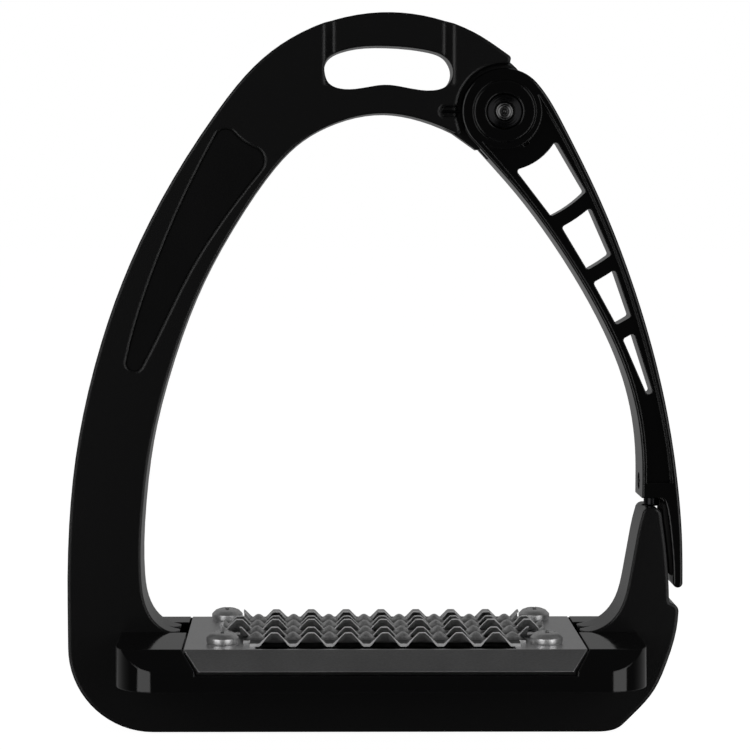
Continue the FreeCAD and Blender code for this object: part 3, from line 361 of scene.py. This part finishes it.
CAD_FINISHES = {
    "hinge_pin": PIN_STEEL,
    "hinge_bush_front": BRONZE,
    "hinge_bush_rear": BRONZE,
    "thrust_washer_front": RUBBER,
    "thrust_washer_rear": RUBBER,
    "hub_cap_front": LACQUER,
    "hub_cap_rear": LACQUER,
    "hinge_screw_front": HINGE_SCREW,
    "hinge_screw_rear": HINGE_SCREW,
    "torsion_spring": SPRING,
    "plunger": BLACK_STEEL,
    "plunger_spring": SPRING,
    "plunger_stop_screw": BLACK_STEEL,
    "tail_stop": RUBBER,
}
for number in TREAD_SCREWS:
    CAD_FINISHES["tread_insert_%d" % number] = BRASS
for number in PLATFORM_SCREWS:
    CAD_FINISHES["platform_screw_%d" % number] = BLACK_STEEL
    CAD_FINISHES["platform_nut_%d" % number] = BLACK_STEEL
for node, finish in CAD_FINISHES.items():
    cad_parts[node].data.materials.clear()
    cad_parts[node].data.materials.append(finish)


# ---------------------------------------------------------------- grip

# Lengths in this part are millimetres. The sheet is built in strips along X, two to a row of
# hoods. Every hood is open to the toe side, and cones stand between the hoods' rear halves.
GRIP_MIDDLE = 1.9
GRIP_FLOOR = 24.8
GRIP_FRONT = -26.6
GRIP_STRIP = 4.18
GRIP_PITCH = 8.83
GRIP_SHEET = 0.75

# Half width of the flat ridge of a hood, whose flanks fall away at 45 degrees.
HOOD_CREST = 0.8

# The sheet is stretched to HOOD_SHEET where it stands THIN_HEIGHT or more above its flat parts.
HOOD_SHEET = 0.28
THIN_HEIGHT = 1.8

# Shares of a row's depth: a hood's length, the cones' middles and the slope that closes a row.
HOOD_SHARE = 0.62
CONE_SHARE = 0.75
CLOSED_SHARE = 0.1

# Mesh steps along X, in millimetres, and across a row, as a share of its depth.
GRIP_STEP = 0.37
ROW_STEP = 0.05

GRIP_SHARP = math.radians(32.0)
EDGE_SLOT = 1
INSIDE_SLOT = 2

# Cone radius and height above the sheet, from the middle outwards.
CONE_PROFILE = [
    (0.0, 1.85), (0.35, 1.82), (0.8, 1.55), (1.4, 1.05), (2.0, 0.52), (2.5, 0.12), (2.8, 0.0),
]

# Rows from the toe side: hood height above the sheet, number of hoods, half length of each strip.
# The last row is a single strip, closed at its rear.
GRIP_ROWS = [
    (2.75, 7, (32.4, 34.0)),
    (2.65, 9, (35.0, 39.4)),
    (3.1, 9, (39.4, 39.4)),
    (2.5, 9, (39.4, 34.9)),
    (2.1, 9, (34.7,)),
]


def hood_height(offset, rise, along):
    """Height over the sheet, at an offset from a hood's middle and a share of the row's depth."""
    slope = (rise + HOOD_CREST - abs(offset)) / rise
    return rise * max(0.0, min(1.0, slope)) * max(0.0, 1.0 - along / HOOD_SHARE)


def cone_height(distance):
    """Height of a cone over the sheet, at a distance from its middle."""
    for (near, high), (far, low) in zip(CONE_PROFILE, CONE_PROFILE[1:]):
        if distance < far:
            return high + (low - high) * (distance - near) / (far - near)
    return 0.0


def row_height(x, along, rise, count, closed):
    """Height over the sheet, at a place across the row and at a share of its depth."""
    steps = round((x - GRIP_MIDDLE) / GRIP_PITCH + (count - 1) / 2)
    steps = max(0, min(count - 1, steps))
    offset = x - GRIP_MIDDLE - GRIP_PITCH * (steps - (count - 1) / 2)
    if closed:
        return hood_height(offset, rise, 0.0) * min(1.0, (0.5 - along) / CLOSED_SHARE)
    across = GRIP_PITCH / 2 - abs(offset)
    depth = 2 * GRIP_STRIP * (along - CONE_SHARE)
    return max(hood_height(offset, rise, along), cone_height(math.hypot(across, depth)))


def split_evenly(low, high, step):
    """Places from low to high, at most a step apart."""
    count = math.ceil((high - low) / step)
    return [low + (high - low) * number / count for number in range(count + 1)]


def add_points(mesh, number, second):
    """A strip's points over and under the sheet, in lines along X, and both counts of lines."""
    rise, count, halves = GRIP_ROWS[number]
    half = halves[second]
    closed = len(halves) == 1
    columns = split_evenly(GRIP_MIDDLE - half, GRIP_MIDDLE + half, GRIP_STEP)
    shares = split_evenly(0.5 * second, 0.5 * second + 0.5, ROW_STEP)
    over = []
    under = []
    for share in shares:
        y = GRIP_FRONT + 2 * GRIP_STRIP * (number + share)
        for x in columns:
            height = row_height(x, share, rise, count, closed)
            sheet = GRIP_SHEET + (HOOD_SHEET - GRIP_SHEET) * min(1.0, height / THIN_HEIGHT)
            top = GRIP_FLOOR + GRIP_SHEET + height
            over.append(mesh.verts.new(Vector((x, y, top)) * MM))
            under.append(mesh.verts.new(Vector((x, y, top - sheet)) * MM))
    return over, under, len(columns), len(shares)


def border_pairs(wide, last):
    """Neighbouring points on a strip's front, rear, right and left borders."""
    pairs = []
    for place in range(wide - 1):
        pairs.append((place, place + 1))
    for place in range(last, last + wide - 1):
        pairs.append((place + 1, place))
    for line in range(0, last, wide):
        pairs.append((line + wide - 1, line + 2 * wide - 1))
    for line in range(0, last, wide):
        pairs.append((line + wide, line))
    return pairs


def add_strip(mesh, number, second):
    """One strip of the pressed sheet as a closed shell with sheared borders and a dull inside."""
    over, under, wide, lines = add_points(mesh, number, second)
    last = (lines - 1) * wide
    for line in range(0, last, wide):
        for first in range(line, line + wide - 1):
            corners = (first, first + 1, first + wide + 1, first + wide)
            mesh.faces.new([over[corner] for corner in corners])
            inside = mesh.faces.new([under[corner] for corner in reversed(corners)])
            inside.material_index = INSIDE_SLOT
    for start, stop in border_pairs(wide, last):
        side = mesh.faces.new((under[start], under[stop], over[stop], over[start]))
        # The borders take the near-white cut-edge finish, a painted highlight.
        side.material_index = EDGE_SLOT


def add_grip():
    """The pressed grip sheet: rows of open hoods with cones behind them."""
    shell = bmesh.new()
    for number, (_, _, halves) in enumerate(GRIP_ROWS):
        for second in range(len(halves)):
            add_strip(shell, number, second)
    mesh = bpy.data.meshes.new("tread_grip_finished")
    shell.to_mesh(mesh)
    shell.free()
    add_piece("tread_grip_finished", mesh, "ring", "tread_grip", GRIP)
    mesh.materials.append(CUT_EDGE_PAINTED_HIGHLIGHT)
    mesh.materials.append(HOOD_INSIDE)
    for face in mesh.polygons:
        face.use_smooth = True
    mesh.set_sharp_from_angle(angle=GRIP_SHARP)


add_grip()


# ---------------------------------------------------------------- studio

FLOOR_RADIUS = 6.0
FLOOR_DROP = 0.2 * MM
SOFTBOX_SIZE = (0.6, 1.0)
SOFTBOX_POWER = 2.8
SOFTBOX_TARGET = Vector((0.0, 0.0, 0.08))


def add_floor():
    """A plain pale floor just under the object, left out of its light and reflections."""
    material, tree, shader = new_material("floor", (0.3, 0.3, 0.3), 0.9)
    shader.inputs["Specular IOR Level"].default_value = 0.0
    shader.inputs["Emission Color"].default_value = (1.0, 1.0, 1.0, 1.0)
    shader.inputs["Emission Strength"].default_value = 0.97
    mesh = bpy.data.meshes.new("floor")
    disc = bmesh.new()
    bmesh.ops.create_circle(disc, cap_ends=True, segments=96, radius=FLOOR_RADIUS)
    disc.to_mesh(mesh)
    disc.free()
    mesh.materials.append(material)
    floor = bpy.data.objects.new("floor", mesh)
    floor.location.z = -FLOOR_DROP
    bpy.context.scene.collection.objects.link(floor)
    floor.visible_glossy = False
    floor.visible_diffuse = False


def add_softbox(name, place):
    """A rectangular soft light that faces the iron and that the camera doesn't see."""
    light = bpy.data.lights.new(name, "AREA")
    light.shape = "RECTANGLE"
    light.size, light.size_y = SOFTBOX_SIZE
    light.energy = SOFTBOX_POWER
    lamp = bpy.data.objects.new(name, light)
    lamp.location = place
    lamp.rotation_euler = (SOFTBOX_TARGET - Vector(place)).to_track_quat("-Z", "Y").to_euler()
    lamp.visible_camera = False
    bpy.context.scene.collection.objects.link(lamp)


def add_world():
    """White to the camera; in light and reflections it is dim in front and glows behind."""
    front_glow = 0.04
    rear_glow = 0.21
    world = bpy.data.worlds.new("studio")
    world.use_nodes = True
    bpy.context.scene.world = world
    tree = world.node_tree
    background = tree.nodes["Background"]
    path = tree.nodes.new("ShaderNodeLightPath")
    direction = tree.nodes.new("ShaderNodeTexCoord")
    parts = tree.nodes.new("ShaderNodeSeparateXYZ")
    tree.links.new(direction.outputs["Generated"], parts.inputs["Vector"])
    glow = spread(tree, parts.outputs["Y"], front_glow, rear_glow, -0.15, 0.5)
    pick = tree.nodes.new("ShaderNodeMix")
    tree.links.new(path.outputs["Is Camera Ray"], pick.inputs[0])
    tree.links.new(glow, pick.inputs[2])
    pick.inputs[3].default_value = 1.0
    tree.links.new(pick.outputs[0], background.inputs["Strength"])
    background.inputs["Color"].default_value = (1.0, 1.0, 1.0, 1.0)


def add_camera():
    """The camera stands in front, a little to the plain leg's side, and looks slightly down."""
    camera = bpy.data.cameras.new("camera")
    camera.sensor_width = 36.0
    camera.lens = 117.3
    camera.shift_x = 0.0654
    camera.shift_y = -0.1203
    camera.clip_start = 0.01
    view = bpy.data.objects.new("camera", camera)
    view.location = (-0.0156, -0.607, 0.1316)
    view.rotation_euler = (math.radians(88.0), 0.0, math.radians(-0.33))
    bpy.context.scene.collection.objects.link(view)
    bpy.context.scene.camera = view


add_floor()
add_softbox("left_box", (-0.55, -0.74, 0.10))
add_softbox("right_box", (0.575, -0.72, 0.10))
add_world()
add_camera()
bpy.context.scene.view_settings.view_transform = "Standard"
